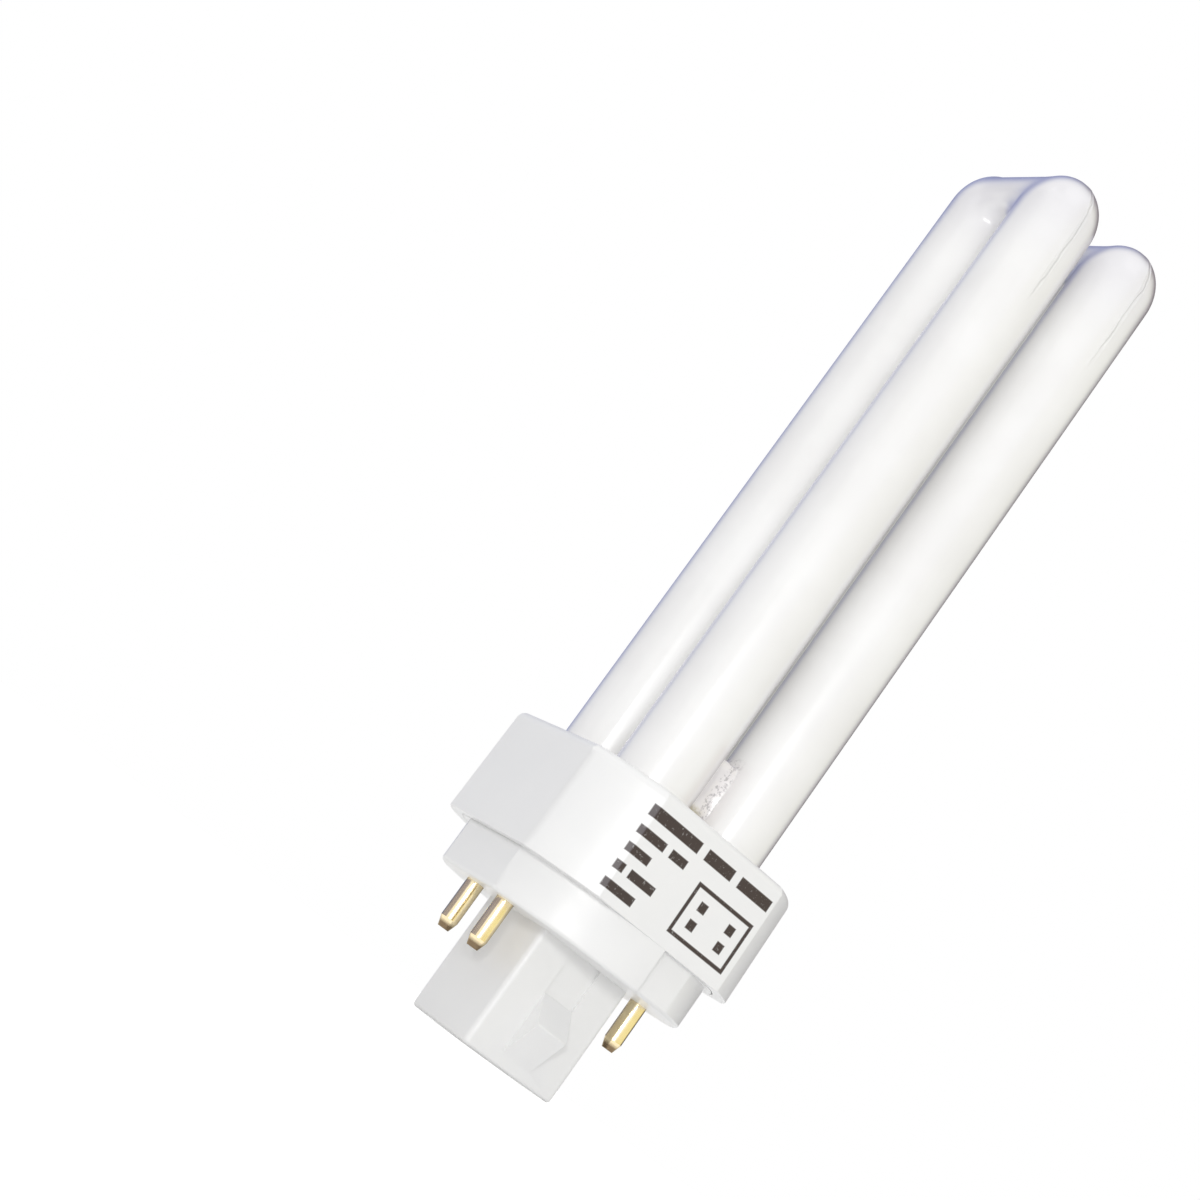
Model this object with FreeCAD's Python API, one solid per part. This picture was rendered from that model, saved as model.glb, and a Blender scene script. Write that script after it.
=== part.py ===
import FreeCAD, Part
import math
import os

# A compact fluorescent lamp with a plug-in cap: four parallel glass legs stand in a moulded
# collar, and the cap below it has a stepped plinth, four contact pins and a hollow square post.
# +Z runs from the post's end to the tops of the legs. The origin is the centre of the post's end.
# +X runs across the two rows of pins, and the collar's broad front faces -Y.

# Overall heights, all from the end of the post
overall_length = 131.0
post_height = 16.0
plinth_height = 5.9
collar_height = 14.6

# How far a cut runs past the face that it opens
overcut = 1.0

# Glass legs
leg_diameter = 10.7
leg_gap = 2.5
leg_foot_taper = 1.6
dome_stretch = 1.18

# Bend that joins two legs at their tops
bend_dip = 0.6
bend_side_step = 0.65
bend_height_step = 1.95
bend_blend_share = 0.44

# Cross passage that joins two legs just above the collar
passage_half_height = 3.8
passage_half_depth = 2.3
passage_setback = 1.3
passage_lift = 1.1
passage_blend_share = 0.36

# Mould seam along the outer side of each bend
seam_width = 0.5
seam_proud = 0.16
seam_run = 13.0

# Pinch seals and the exhaust tip at the feet of the legs
pinch_side_step = 1.65
pinch_thickness = 2.6
pinch_length = 4.2
pinch_blend = 0.5
exhaust_tip_diameter = 4.0
exhaust_tip_length = 3.6
exhaust_tip_taper = 1.2

# Collar shell
collar_room_x = 2.75
collar_room_y = 2.2
collar_corner_reach = 2.35
collar_draft = 0.3
collar_top_round = 1.2
collar_wall = 1.6
collar_top_thickness = 1.8
socket_clearance = 0.35
socket_wall = 1.2
seat_rib_thickness = 1.2
seat_rib_reach = 2.6

# Cement in the sockets
cement_recess = 0.6

# Plinth of the cap
plinth_setback_x = 1.95
plinth_setback_y = 0.1
plinth_wall = 1.6
plinth_floor = 1.8
plinth_edge_round = 0.5
key_step_x = 1.2
key_depth = 1.5
flange_thickness = 1.5
flange_clearance = 0.12

# Snap hooks of the cap and their catches in the collar
hook_width = 5.0
hook_thickness = 1.2
hook_setback = 1.1
hook_rise = 5.4
hook_bite = 0.7
hook_bite_height = 1.4
catch_width = 7.0
catch_clearance = 0.1
catch_height = 1.6

# Hollow post
post_width_x = 15.0
post_width_y = 15.0
post_wall = 1.4
post_corner_round = 0.8
post_end_round = 0.5

# V nose that the lampholder's springs grip, and the shallow channel above it
nose_width = 4.8
nose_proud = 2.8
nose_bottom = 1.8
nose_tip = 6.7
nose_top = 10.2
nose_tip_round = 0.3
channel_depth = 0.35

# Contact pins, whose rows are 24 mm apart
pin_diameter = 2.35
pin_edge_distance = 4.2
pin_spacing_y = 8.0
pin_exposed = 6.65
pin_tip_diameter = 1.5
pin_taper = 1.3
pin_shank_step = 0.15
pin_cup_diameter = 1.1
pin_cup_depth = 3.6
pin_flange_diameter = 3.6
pin_flange_thickness = 0.6
pin_boss_diameter = 5.0
pin_boss_height = 2.4

# Lead wires and their sleeves
wire_diameter = 0.6
wire_spread = 4.2
wire_bend_radius = 0.9
wire_room = 2.5
wire_drop = 1.5
sleeve_wall = 0.35
sleeve_clearance = 0.05
sleeve_end_gap = 0.3

# Levels and places worked out from the sizes above
plinth_bottom = post_height
plinth_top = plinth_bottom + plinth_height
collar_bottom = plinth_top
collar_top = collar_bottom + collar_height
flange_top = collar_bottom + flange_thickness
floor_top = plinth_bottom + plinth_floor
boss_top = floor_top + pin_boss_height
pin_tip = plinth_bottom - pin_exposed
pin_top = boss_top + pin_flange_thickness
cup_bottom = pin_top - pin_cup_depth
pinch_bottom = pin_top + wire_room
wire_level = pinch_bottom - wire_drop
leg_foot = pinch_bottom + pinch_length
socket_bottom = leg_foot

leg_radius = leg_diameter / 2
leg_pitch = leg_diameter + leg_gap
leg_offset = leg_pitch / 2
dome_height = leg_radius * dome_stretch
dome_centre = overall_length - dome_height
bend_half_width = leg_radius - bend_side_step
bend_half_height = leg_radius - bend_height_step
bend_centre = overall_length - bend_dip - bend_half_height
bend_blend = leg_gap * bend_blend_share
passage_centre = collar_top + passage_lift + passage_half_height
passage_y = passage_setback - leg_offset
passage_blend = leg_gap * passage_blend_share
pinch_half_width = leg_radius - pinch_side_step

socket_radius = leg_radius + socket_clearance
socket_reach = leg_offset + socket_radius + socket_wall
inner_half_x = socket_reach + collar_room_x
inner_half_y = socket_reach + collar_room_y
collar_half_x = inner_half_x + collar_wall + collar_draft
collar_half_y = inner_half_y + collar_wall + collar_draft
collar_radius = collar_half_x + collar_corner_reach
inner_radius = collar_radius - collar_draft - collar_wall
plinth_half_x = collar_half_x - plinth_setback_x
plinth_radius = collar_half_y - plinth_setback_y
key_face_y = plinth_radius - key_depth
hollow_half_x = inner_half_x - hook_setback - hook_thickness
hollow_half_y = inner_half_y - hook_setback - hook_thickness

pin_radius = pin_diameter / 2
pin_shank_radius = pin_radius + pin_shank_step
pin_x = plinth_half_x - pin_edge_distance
pin_y = pin_spacing_y / 2

up = FreeCAD.Vector(0, 0, 1)

# Corners of the square of legs: name, side in X and side in Y
legs = {"front": (-1, -1), "right": (1, -1), "back": (1, 1), "left": (-1, 1)}
# Legs that end in a pinch seal with two wires
sealed_legs = ("left", "back")
# Pin number to its side in X and in Y, going round the cap
pins = {1: (-1, 1), 2: (-1, -1), 3: (1, -1), 4: (1, 1)}


def point(x, y, z):
    return FreeCAD.Vector(x, y, z)


def cylinder(radius, bottom, top, x=0.0, y=0.0):
    """A round bar along Z between two levels."""
    return Part.makeCylinder(radius, top - bottom, point(x, y, bottom), up)


def block(low_x, high_x, low_y, high_y, low_z, high_z):
    """A box between two corners, given axis by axis."""
    return Part.makeBox(high_x - low_x, high_y - low_y, high_z - low_z, point(low_x, low_y, low_z))


def centred_block(width_x, width_y, bottom, top):
    """A box centred on the lamp's axis."""
    return block(-width_x / 2, width_x / 2, -width_y / 2, width_y / 2, bottom, top)


def half_turn(shape):
    """The same shape on the opposite side of the lamp."""
    turned = shape.copy()
    turned.rotate(point(0, 0, 0), up, 180)
    return turned


def turned_about(shape, degrees):
    turned = shape.copy()
    turned.rotate(point(0, 0, 0), up, degrees)
    return turned


def leaning_slab(half, length, bottom, top, draft):
    """A slab along Y whose sides face -X and +X and lean in by the draft, cut long at both ends."""
    low, high = bottom - overcut, top + overcut
    extra = draft * overcut / (top - bottom)
    low_half = half + extra
    high_half = half - draft - extra
    profile = [point(-low_half, -length / 2, low), point(low_half, -length / 2, low),
               point(high_half, -length / 2, high), point(-high_half, -length / 2, high)]
    section = Part.Face(Part.makePolygon(profile + profile[:1]))
    return section.extrude(point(0, length, 0))


def flatted_block(radius, half_x, half_y, bottom, top, draft=0.0):
    """A round body cut by two pairs of flats, narrower by the draft at its top."""
    if draft > 0:
        body = Part.makeCone(radius, radius - draft, top - bottom, point(0, 0, bottom), up)
    else:
        body = cylinder(radius, bottom, top)
    body = body.common(leaning_slab(half_x, 4 * radius, bottom, top, draft))
    return body.common(turned_about(leaning_slab(half_y, 4 * radius, bottom, top, draft), 90))


def edges_at(shape, z, tolerance=1e-4):
    """The edges of a shape that lie in one level."""
    found = []
    for edge in shape.Edges:
        box = edge.BoundBox
        if abs(box.ZMin - z) < tolerance and abs(box.ZMax - z) < tolerance:
            found.append(edge)
    return found


def upright_edges(shape, half_x, half_y):
    """The vertical edges at the corners of a centred rectangle."""
    found = []
    for edge in shape.Edges:
        box = edge.BoundBox
        upright = box.XLength < 1e-4 and box.YLength < 1e-4
        at_corner = abs(abs(box.XMin) - half_x) < 1e-4 and abs(abs(box.YMin) - half_y) < 1e-4
        if upright and at_corner:
            found.append(edge)
    return found


def leg_place(name):
    side_x, side_y = legs[name]
    return side_x * leg_offset, side_y * leg_offset


# Glass

def dome_arc(radius):
    """A quarter of an upright ellipse, from the side of a leg to the top of its dome."""
    centre = point(0, 0, dome_centre)
    outline = Part.Ellipse(point(0, 0, overall_length), point(radius, 0, dome_centre), centre)
    return Part.Arc(outline, 0, math.pi / 2).toShape()


def domed_leg(name):
    """One straight leg with a domed top and a tapered foot, turned from one profile."""
    x, y = leg_place(name)
    outward = math.degrees(math.atan2(y, x))
    side = Part.makePolygon([point(0, 0, overall_length), point(0, 0, leg_foot),
                             point(leg_radius - leg_foot_taper, 0, leg_foot),
                             point(leg_radius, 0, leg_foot + leg_foot_taper),
                             point(leg_radius, 0, dome_centre)])
    leg = Part.Face(Part.Wire(side.Edges + [dome_arc(leg_radius)])).revolve(point(0, 0, 0), up, 360)
    leg = turned_about(leg, outward)
    leg.translate(point(x, y, 0))
    return leg


def oval_bar(start, half_up, half_across, along):
    """A level bar of elliptical section, given its start, its half height and width, and its run."""
    outline = Part.Ellipse(start, max(half_up, half_across), min(half_up, half_across))
    outline.Axis = along
    outline.XAxis = up if half_up > half_across else along.cross(up)
    return Part.Face(Part.Wire(outline.toShape())).extrude(along)


def top_bend(side_x):
    """The short flattened passage between the tops of the two legs on one side."""
    start = point(side_x * leg_offset, -leg_offset, bend_centre)
    return oval_bar(start, bend_half_height, bend_half_width, point(0, leg_pitch, 0))


def low_passage():
    """The flattened passage that joins the two front legs just above the collar."""
    start = point(-leg_offset, passage_y, passage_centre)
    return oval_bar(start, passage_half_height, passage_half_depth, point(leg_pitch, 0, 0))


def mould_seam(name):
    """A fine ridge down the outer side of a bend, fading into the top of the dome."""
    x, y = leg_place(name)
    side_y = legs[name][1]
    ridge = domed_leg(name)
    ridge.translate(point(0, side_y * seam_proud, 0))
    outer = y + side_y * (leg_radius + seam_proud)
    slab = block(x - seam_width / 2, x + seam_width / 2, min(y, outer), max(y, outer),
                 dome_centre - seam_run, overall_length)
    return ridge.common(slab)


def pinch_seal(name):
    """The flat press below a leg that grips its two lead wires."""
    x, y = leg_place(name)
    seal = block(x - pinch_half_width, x + pinch_half_width, y - pinch_thickness / 2,
                 y + pinch_thickness / 2, pinch_bottom, leg_foot + leg_radius / 2)
    low_edges = edges_at(seal, pinch_bottom)
    return seal.makeFillet(pinch_blend, low_edges)


def exhaust_tip():
    """The closed stub of the tube through which the glass was filled."""
    x, y = leg_place("right")
    radius = exhaust_tip_diameter / 2
    bottom = leg_foot - exhaust_tip_length
    stub = cylinder(radius, bottom, leg_foot + leg_radius / 2, x, y)
    return stub.makeChamfer(exhaust_tip_taper, edges_at(stub, bottom))


def junction_edges(shape, place, run, height):
    """The curved edges where a cross passage enters the two legs that it joins."""
    found = []
    for edge in shape.Edges:
        box = edge.BoundBox
        away = box.Center - place
        along = abs(away.x * run.x + away.y * run.y)
        aside = abs(away.x * run.y - away.y * run.x)
        at_passage = abs(away.z) < height / 2 and aside < leg_radius / 2 and along < leg_offset
        if at_passage and height / 2 < box.ZLength < height * 1.1:
            found.append(edge)
    return found


def discharge_tube():
    """The whole sealed glass: four legs, two top bends, one low passage, seals and tip."""
    glass = domed_leg("front")
    for name in ("right", "back", "left"):
        glass = glass.fuse(domed_leg(name))
    for side_x in (-1, 1):
        glass = glass.fuse(top_bend(side_x))
    glass = glass.fuse(low_passage()).removeSplitter()
    joints = []
    for side_x in (-1, 1):
        place = point(side_x * leg_offset, 0, bend_centre)
        joints += junction_edges(glass, place, point(0, 1, 0), 2 * bend_half_height)
    glass = glass.makeFillet(bend_blend, joints)
    place = point(0, passage_y, passage_centre)
    low_joints = junction_edges(glass, place, point(1, 0, 0), 2 * passage_half_height)
    glass = glass.makeFillet(passage_blend, low_joints)
    for name in legs:
        glass = glass.fuse(mould_seam(name))
    for name in sealed_legs:
        glass = glass.fuse(pinch_seal(name))
    return glass.fuse(exhaust_tip())


# Collar

def hook_places():
    """Turn in degrees and the inner half width for each side that carries a snap hook."""
    return ((0, inner_half_y), (90, inner_half_x), (180, inner_half_y), (270, inner_half_x))


def catch_bar(inner_half):
    """A bar inside the front wall, under which a hook's bite is held."""
    bite_bottom = flange_top + hook_rise - hook_bite_height
    top = bite_bottom - catch_clearance
    depth = hook_setback + hook_bite - catch_clearance
    return block(-catch_width / 2, catch_width / 2, -inner_half - collar_wall / 2,
                 -inner_half + hook_setback - catch_clearance, top - catch_height, top)


def seat_ribs():
    """Four ribs in the corners that stand on the cap's flange and set its depth."""
    ribs = None
    for turn in (45, 135, 225, 315):
        rib = block(inner_radius - seat_rib_reach, inner_radius + collar_wall / 2, -seat_rib_thickness / 2,
                    seat_rib_thickness / 2, flange_top, collar_top - collar_top_thickness / 2)
        rib = turned_about(rib, turn)
        ribs = rib if ribs is None else ribs.fuse(rib)
    return ribs


def collar():
    """The drafted shell with rounded rim, four leg sockets, seat ribs and catches."""
    shell = flatted_block(collar_radius, collar_half_x, collar_half_y,
                          collar_bottom, collar_top, collar_draft)
    hollow = flatted_block(inner_radius, inner_half_x, inner_half_y, collar_bottom - overcut,
                           collar_top - collar_top_thickness)
    shell = shell.cut(hollow)
    shell = shell.makeFillet(collar_top_round, edges_at(shell, collar_top))
    for name in legs:
        x, y = leg_place(name)
        shell = shell.fuse(cylinder(socket_radius + socket_wall, socket_bottom,
                                    collar_top - collar_top_thickness / 2, x, y))
    shell = shell.fuse(seat_ribs())
    for name in legs:
        x, y = leg_place(name)
        shell = shell.cut(cylinder(socket_radius, socket_bottom - overcut, collar_top + overcut, x, y))
    for turn, inner_half in hook_places():
        shell = shell.fuse(turned_about(catch_bar(inner_half), turn))
    return shell


def cement_ring(name):
    """The cement that fills the gap between a leg and its socket."""
    x, y = leg_place(name)
    top = collar_top - cement_recess
    bottom = socket_bottom + leg_foot_taper
    outer = cylinder(socket_radius, bottom, top, x, y)
    return outer.cut(cylinder(leg_radius, bottom - overcut, top + overcut, x, y))


# Cap

def key_cut():
    """The piece cut from the plinth's front right, which keys the cap to its holder."""
    return block(key_step_x, plinth_radius, -plinth_radius - overcut, -key_face_y,
                 plinth_bottom - overcut, plinth_top + overcut)


def post_nose():
    """The V nose on the post's front, as a profile drawn from the side."""
    face = -post_width_y / 2
    profile = [point(-nose_width / 2, face + post_wall / 2, nose_bottom),
               point(-nose_width / 2, face, nose_bottom),
               point(-nose_width / 2, face - nose_proud, nose_tip),
               point(-nose_width / 2, face, nose_top),
               point(-nose_width / 2, face + post_wall / 2, nose_top)]
    side = Part.Face(Part.makePolygon(profile + profile[:1]))
    nose = side.extrude(point(nose_width, 0, 0))
    tip = [edge for edge in nose.Edges if abs(edge.BoundBox.YMax - (face - nose_proud)) < 1e-4]
    return nose.makeFillet(nose_tip_round, tip)


def snap_hook(inner_half):
    """A tongue rising from the flange beside the front wall, with a bite over its catch."""
    outer = -inner_half + hook_setback
    tongue = block(-hook_width / 2, hook_width / 2, outer, outer + hook_thickness,
                   flange_top - flange_thickness / 2, flange_top + hook_rise)
    bottom = flange_top + hook_rise - hook_bite_height
    profile = [point(-hook_width / 2, outer + hook_thickness / 2, bottom),
               point(-hook_width / 2, outer - hook_bite, bottom),
               point(-hook_width / 2, outer, flange_top + hook_rise),
               point(-hook_width / 2, outer + hook_thickness / 2, flange_top + hook_rise)]
    side = Part.Face(Part.makePolygon(profile + profile[:1]))
    return tongue.fuse(side.extrude(point(hook_width, 0, 0)))


def pin_boss(side_x, side_y):
    """The pillar on the plinth's floor that carries a contact pin."""
    return cylinder(pin_boss_diameter / 2, plinth_bottom + plinth_floor / 2, boss_top,
                    side_x * pin_x, side_y * pin_y)


def base_cap():
    """The lower moulding: flange, keyed plinth, pin pillars, hollow post and noses."""
    plinth = flatted_block(plinth_radius, plinth_half_x, plinth_radius, plinth_bottom, plinth_top)
    plinth = plinth.cut(key_cut()).cut(half_turn(key_cut()))
    plinth = plinth.makeFillet(plinth_edge_round, edges_at(plinth, plinth_bottom))
    flange = flatted_block(inner_radius - flange_clearance, inner_half_x - flange_clearance,
                           inner_half_y - flange_clearance, collar_bottom, flange_top)
    post = centred_block(post_width_x, post_width_y, 0, floor_top)
    post = post.makeFillet(post_corner_round, upright_edges(post, post_width_x / 2, post_width_y / 2))
    post = post.makeFillet(post_end_round, edges_at(post, 0))
    cap = plinth.fuse(flange).fuse(post)
    plinth_hollow = flatted_block(plinth_radius - plinth_wall, hollow_half_x, hollow_half_y,
                                  floor_top, flange_top + overcut)
    post_hollow = centred_block(post_width_x - 2 * post_wall, post_width_y - 2 * post_wall,
                                post_wall, flange_top + overcut)
    cap = cap.cut(plinth_hollow).cut(post_hollow)
    channel = block(-nose_width / 2, nose_width / 2, -post_width_y / 2 - overcut,
                    -post_width_y / 2 + channel_depth, nose_tip, plinth_bottom)
    for side in (channel, half_turn(channel)):
        cap = cap.cut(side)
    for side in (post_nose(), half_turn(post_nose())):
        cap = cap.fuse(side)
    for turn, inner_half in hook_places():
        cap = cap.fuse(turned_about(snap_hook(inner_half), turn))
    for side_x, side_y in pins.values():
        cap = cap.fuse(pin_boss(side_x, side_y))
    for side_x, side_y in pins.values():
        cap = cap.cut(cylinder(pin_shank_radius, plinth_bottom - overcut, boss_top + overcut,
                               side_x * pin_x, side_y * pin_y))
    return cap


# Contact pins

def contact_pin(number):
    """A turned pin: tapered tip, thicker shank in the plinth, and a flange with a cup for the wire."""
    side_x, side_y = pins[number]
    cup = pin_cup_diameter / 2
    profile = [point(0, 0, pin_tip),
               point(pin_tip_diameter / 2, 0, pin_tip),
               point(pin_radius, 0, pin_tip + pin_taper),
               point(pin_radius, 0, plinth_bottom),
               point(pin_shank_radius, 0, plinth_bottom),
               point(pin_shank_radius, 0, boss_top),
               point(pin_flange_diameter / 2, 0, boss_top),
               point(pin_flange_diameter / 2, 0, pin_top),
               point(cup, 0, pin_top),
               point(cup, 0, cup_bottom),
               point(0, 0, cup_bottom)]
    section = Part.Face(Part.makePolygon(profile + profile[:1]))
    pin = section.revolve(point(0, 0, 0), up, 360)
    pin.translate(point(side_x * pin_x, side_y * pin_y, 0))
    return pin


# Lead wires

def wire_route(number):
    """Corners of one wire's route, from its pinch seal to the bottom of its pin's cup."""
    side_x, side_y = pins[number]
    leg_x, leg_y = leg_place("left" if side_x < 0 else "back")
    outer = side_x if side_y > 0 else -side_x
    start_x = leg_x + outer * wire_spread / 2
    end_x, end_y = side_x * pin_x, side_y * pin_y
    return [point(start_x, leg_y, pinch_bottom), point(start_x, leg_y, wire_level),
            point(end_x, end_y, wire_level), point(end_x, end_y, cup_bottom)]


def rounded_path(corners, radius):
    """Straight runs joined by arcs that touch both runs."""
    edges = []
    last = corners[0]
    for before, corner, after in zip(corners, corners[1:], corners[2:]):
        back = (before - corner).normalize()
        forth = (after - corner).normalize()
        half_angle = back.getAngle(forth) / 2
        cut_back = radius / math.tan(half_angle)
        start = corner + back * cut_back
        end = corner + forth * cut_back
        middle_direction = (back + forth).normalize()
        centre = corner + middle_direction * (radius / math.sin(half_angle))
        middle = centre - middle_direction * radius
        edges.append(Part.LineSegment(last, start).toShape())
        edges.append(Part.Arc(start, middle, end).toShape())
        last = end
    edges.append(Part.LineSegment(last, corners[-1]).toShape())
    return Part.Wire(edges)


def lead_wire(number):
    """One bare wire from the glass down into its pin."""
    corners = wire_route(number)
    path = rounded_path(corners, wire_bend_radius)
    section = Part.Wire(Part.makeCircle(wire_diameter / 2, corners[0], corners[1] - corners[0]))
    return path.makePipeShell([section], True, False)


def wire_sleeve(number):
    """The insulating sleeve on the level run of a wire."""
    first, second = wire_route(number)[1:3]
    along = (second - first).normalize()
    trim = wire_bend_radius + sleeve_end_gap
    start = first + along * trim
    length = (second - first).Length - 2 * trim
    inner = wire_diameter / 2 + sleeve_clearance
    outer = Part.makeCylinder(inner + sleeve_wall, length, start, along)
    return outer.cut(Part.makeCylinder(inner, length, start, along))


def save(name, shape):
    """Write one piece to its own file, as a single solid where it is one."""
    solids = shape.Solids
    if len(solids) != 1 or not shape.isValid():
        print("CHECK", name, "solids", len(solids), "valid", shape.isValid())
    body = solids[0] if len(solids) == 1 else shape
    body.exportStep("parts/" + name + ".step")
    print(name, round(body.Volume, 2))


os.makedirs("parts", exist_ok=True)
save("discharge_tube", discharge_tube())
save("collar", collar())
save("base_cap", base_cap())
for leg_name in legs:
    save("cement_ring_" + leg_name, cement_ring(leg_name))
for pin_number in pins:
    save("contact_pin_" + str(pin_number), contact_pin(pin_number))
    save("lead_wire_" + str(pin_number), lead_wire(pin_number))
    save("wire_sleeve_" + str(pin_number), wire_sleeve(pin_number))
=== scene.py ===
import logging
import math
from abc import ABC, abstractmethod
from collections.abc import Callable
from dataclasses import dataclass, field
from enum import Enum
from functools import cached_property, reduce

import bpy
from mathutils import Matrix, Vector


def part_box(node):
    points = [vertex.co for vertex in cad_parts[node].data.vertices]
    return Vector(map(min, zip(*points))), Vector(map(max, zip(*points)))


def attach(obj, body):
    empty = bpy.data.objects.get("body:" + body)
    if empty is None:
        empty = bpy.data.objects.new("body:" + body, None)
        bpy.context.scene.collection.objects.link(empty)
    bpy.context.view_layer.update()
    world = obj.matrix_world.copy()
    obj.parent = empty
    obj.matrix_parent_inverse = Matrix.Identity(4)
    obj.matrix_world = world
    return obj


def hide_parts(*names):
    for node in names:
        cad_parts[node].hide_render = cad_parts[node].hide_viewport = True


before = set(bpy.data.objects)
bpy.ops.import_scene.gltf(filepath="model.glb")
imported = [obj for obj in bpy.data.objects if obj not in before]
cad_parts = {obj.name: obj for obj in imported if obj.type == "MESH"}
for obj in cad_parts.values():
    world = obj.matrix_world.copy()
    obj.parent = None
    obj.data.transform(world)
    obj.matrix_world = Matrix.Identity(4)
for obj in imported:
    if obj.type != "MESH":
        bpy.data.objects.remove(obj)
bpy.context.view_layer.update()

# The looks of a plug-in lamp: coated glass legs, white moulded collar and cap, brass pins.
# Sizes are in millimetres, and MM turns them into metres. The studio is in metres.

MM = 0.001

Node = bpy.types.Node
Piece = bpy.types.Object
Socket = bpy.types.NodeSocket
Tree = bpy.types.NodeTree
Axes = tuple[Socket, Socket, Socket]
Place = tuple[float, float, float]
Colour = tuple[float, float, float, float]

WHITE: Colour = (1.0, 1.0, 1.0, 1.0)
FLOAT = "NodeSocketFloat"
COLOUR = "NodeSocketColor"
VECTOR = "NodeSocketVector"

log = logging.getLogger("lamp")


def node_box(name: str) -> tuple[Vector, Vector]:
    """The lowest and highest corner of a solid, in millimetres."""
    low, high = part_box(name)
    return low / MM, high / MM


# Node trees


class Graph:
    """A node tree that is filled one named node at a time."""

    def __init__(self, tree: Tree) -> None:
        """Takes the tree and empties it."""
        self.tree = tree
        self.tree.nodes.clear()

    def add(self, kind: str, settings: dict | None = None, values: dict | None = None) -> Node:
        """Adds a node.

        Args:
            kind: the node's type name.
            settings: properties of the node, by name.
            values: input sockets by name or number, each with a constant or another node's socket.

        Returns:
            The new node.
        """
        node = self.tree.nodes.new(kind)
        for name, value in (settings or {}).items():
            setattr(node, name, value)
        for name, value in (values or {}).items():
            if isinstance(value, Socket):
                self.tree.links.new(value, node.inputs[name])
            else:
                node.inputs[name].default_value = value
        return node

    def maths(self, operation: str, *values: float | Socket) -> Socket:
        """Adds one step of arithmetic on the values, such as "ADD"."""
        return self.add("ShaderNodeMath", {"operation": operation}, dict(enumerate(values))).outputs[0]

    def product(self, *values: float | Socket) -> Socket:
        """Multiplies all the values."""
        return reduce(lambda first, second: self.maths("MULTIPLY", first, second), values)

    def ramp(self, value: Socket, low: float, high: float, start: float = 0.0,
             end: float = 1.0) -> Socket:
        """Maps a value smoothly: the start up to the low value, the end from the high value on."""
        return self.add("ShaderNodeMapRange", {"interpolation_type": "SMOOTHSTEP"}, {
            "Value": value, "From Min": low, "From Max": high, "To Min": start, "To Max": end}).outputs[0]

    def blend(self, share: float | Socket, first: Colour | Socket, second: Colour | Socket) -> Socket:
        """Mixes two colours: the first at a share of 0, the second at a share of 1."""
        return self.add("ShaderNodeMix", {"data_type": "RGBA"}, {0: share, 6: first, 7: second}).outputs[2]

    def noise(self, place: Socket, scale: float | Socket, detail: float, roughness: float = 0.5) -> Socket:
        """Cloudy noise from 0 to 1."""
        return self.add("ShaderNodeTexNoise", values={
            "Vector": place, "Scale": scale, "Detail": detail, "Roughness": roughness}).outputs["Fac"]

    def axes(self, place: Socket) -> Axes:
        """Splits a place into its X, Y and Z."""
        return tuple(self.add("ShaderNodeSeparateXYZ", values={0: place}).outputs)

    def inside(self, first: Socket, second: Socket, softness: Socket) -> Socket:
        """A soft-edged mask, 1 where the distances to both of two edges are positive."""
        share = self.maths("DIVIDE", self.maths("MINIMUM", first, second), softness)
        return self.add("ShaderNodeClamp", values={0: self.maths("ADD", share, 0.5)}).outputs[0]


def effect_group(name: str, inputs: dict[str, float | Colour],
                 outputs: dict[str, str]) -> tuple[Graph, dict[str, Socket]]:
    """Starts a shader node group whose first input is the place.

    Args:
        name: the group's name.
        inputs: the default of each further input, by name.
        outputs: the socket type of each output, by name.

    Returns:
        The group's graph and its inputs by name.
    """
    tree = bpy.data.node_groups.new(name, "ShaderNodeTree")
    tree.interface.new_socket("Place", in_out="INPUT", socket_type=VECTOR)
    for socket_name, default in inputs.items():
        kind = FLOAT if isinstance(default, float) else COLOUR
        tree.interface.new_socket(socket_name, in_out="INPUT", socket_type=kind).default_value = default
    for socket_name, kind in outputs.items():
        tree.interface.new_socket(socket_name, in_out="OUTPUT", socket_type=kind)
    graph = Graph(tree)
    return graph, {socket.name: socket for socket in graph.add("NodeGroupInput").outputs}


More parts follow.
